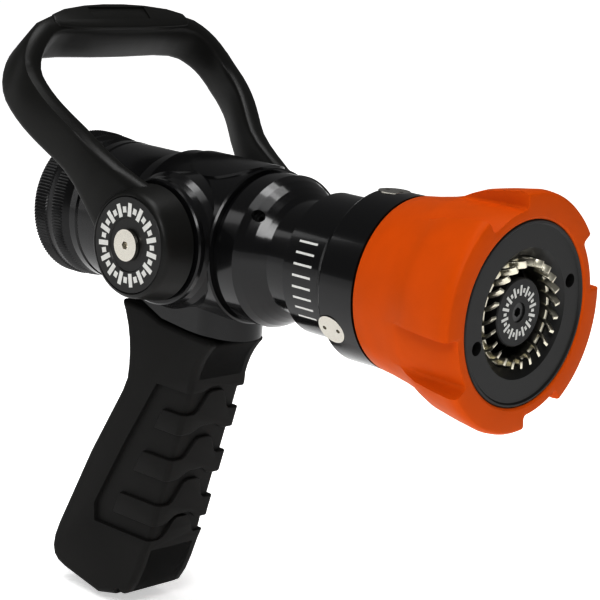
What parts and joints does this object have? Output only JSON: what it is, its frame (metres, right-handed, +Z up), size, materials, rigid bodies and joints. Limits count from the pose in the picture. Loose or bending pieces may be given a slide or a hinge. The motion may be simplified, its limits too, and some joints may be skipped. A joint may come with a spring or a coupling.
{
  "type": "fire hose nozzle",
  "caption": "Pistol-grip fire hose nozzle: swivel hose coupling, bale-operated ball valve and a twist-to-fog barrel with a spinning toothed ring.",
  "frame": {"origin": "centre of the hose inlet's mouth, on the waterway axis", "axes": "+X along the waterway towards the outlet, +Z up, Y along the bale's pivot axis"},
  "size_m": [0.2598, 0.1384, 0.2702],
  "materials": {
    "body_black_anodised": "gloss black hard-anodised and painted casting",
    "grip_rubber": "moulded black rubber, matt",
    "bale_plastic": "moulded black nylon, satin",
    "cap_black": "black satin label disc",
    "bumper_orange": "orange moulded rubber, satin",
    "stainless": "turned stainless steel",
    "teeth_steel": "oiled stainless steel with bright edges",
    "spider_brass": "cast brass",
    "seat_polymer": "white fluoropolymer",
    "seal_rubber": "black nitrile rubber"
  },
  "bodies": {
    "root": {"valve_body": "body_black_anodised", "rear_seat": "seat_polymer", "front_seat": "seat_polymer", "seat_carrier": "stainless", "seat_spring": "stainless", "seat_o_ring": "seal_rubber", "near_stem_o_ring": "seal_rubber", "far_stem_o_ring": "seal_rubber", "near_thrust_bush": "seat_polymer", "far_thrust_bush": "seat_polymer", "grip_shell": "grip_rubber", "grip_bolt": "stainless", "grip_washer": "stainless", "tip_base": "body_black_anodised", "tip_base_o_ring": "seal_rubber", "tip_lock_screw": "stainless", "flow_spider": "spider_brass", "baffle_stem": "stainless", "baffle_head": "cap_black", "baffle_screw": "stainless", "barrel_o_ring": "seal_rubber"},
    "coupling": {"swivel_coupling": "body_black_anodised", "hose_gasket": "seal_rubber", "race_plug": "stainless"},
    "ball_race": {"race_balls": "stainless"},
    "bale": {"bale_handle": "bale_plastic", "near_hub_cap": "cap_black", "far_hub_cap": "cap_black", "near_pivot_screw": "stainless", "far_pivot_screw": "stainless", "near_stem": "stainless", "far_stem": "stainless", "valve_ball": "stainless"},
    "carriage": {"barrel_wiper": "seal_rubber"},
    "barrel": {"pattern_barrel": "body_black_anodised", "cam_pins": "stainless", "bumper": "bumper_orange", "face_ring": "body_black_anodised", "teeth_washer": "seat_polymer"},
    "spinner": {"teeth_ring": "teeth_steel"}
  },
  "joints": [
    {"name": "bale_turn", "type": "hinge", "parent": "root", "child": "bale", "pos_m": [0.088, 0, 0], "axis": [0, 1, 0], "range_deg": [0, 90]},
    {"name": "swivel_spin", "type": "hinge", "parent": "root", "child": "coupling", "pos_m": [0.0185, 0, 0], "axis": [1, 0, 0], "continuous": true},
    {"name": "race_roll", "type": "hinge", "parent": "root", "child": "ball_race", "pos_m": [0.0185, 0, 0], "axis": [1, 0, 0], "continuous": true},
    {"name": "barrel_advance", "type": "slide", "parent": "root", "child": "carriage", "axis": [-1, 0, 0], "range_m": [0, 0.0105]},
    {"name": "barrel_twist", "type": "hinge", "parent": "carriage", "child": "barrel", "pos_m": [0.1845, 0, 0], "axis": [-1, 0, 0], "range_deg": [0, 105]},
    {"name": "teeth_spin", "type": "hinge", "parent": "barrel", "child": "spinner", "pos_m": [0.246, 0, 0], "axis": [1, 0, 0], "continuous": true}
  ],
  "couplings": [
    {"joint": "race_roll", "follows": "swivel_spin", "ratio": 0.5},
    {"joint": "barrel_advance", "follows": "barrel_twist", "m_per_rad": 0.00573}
  ]
}
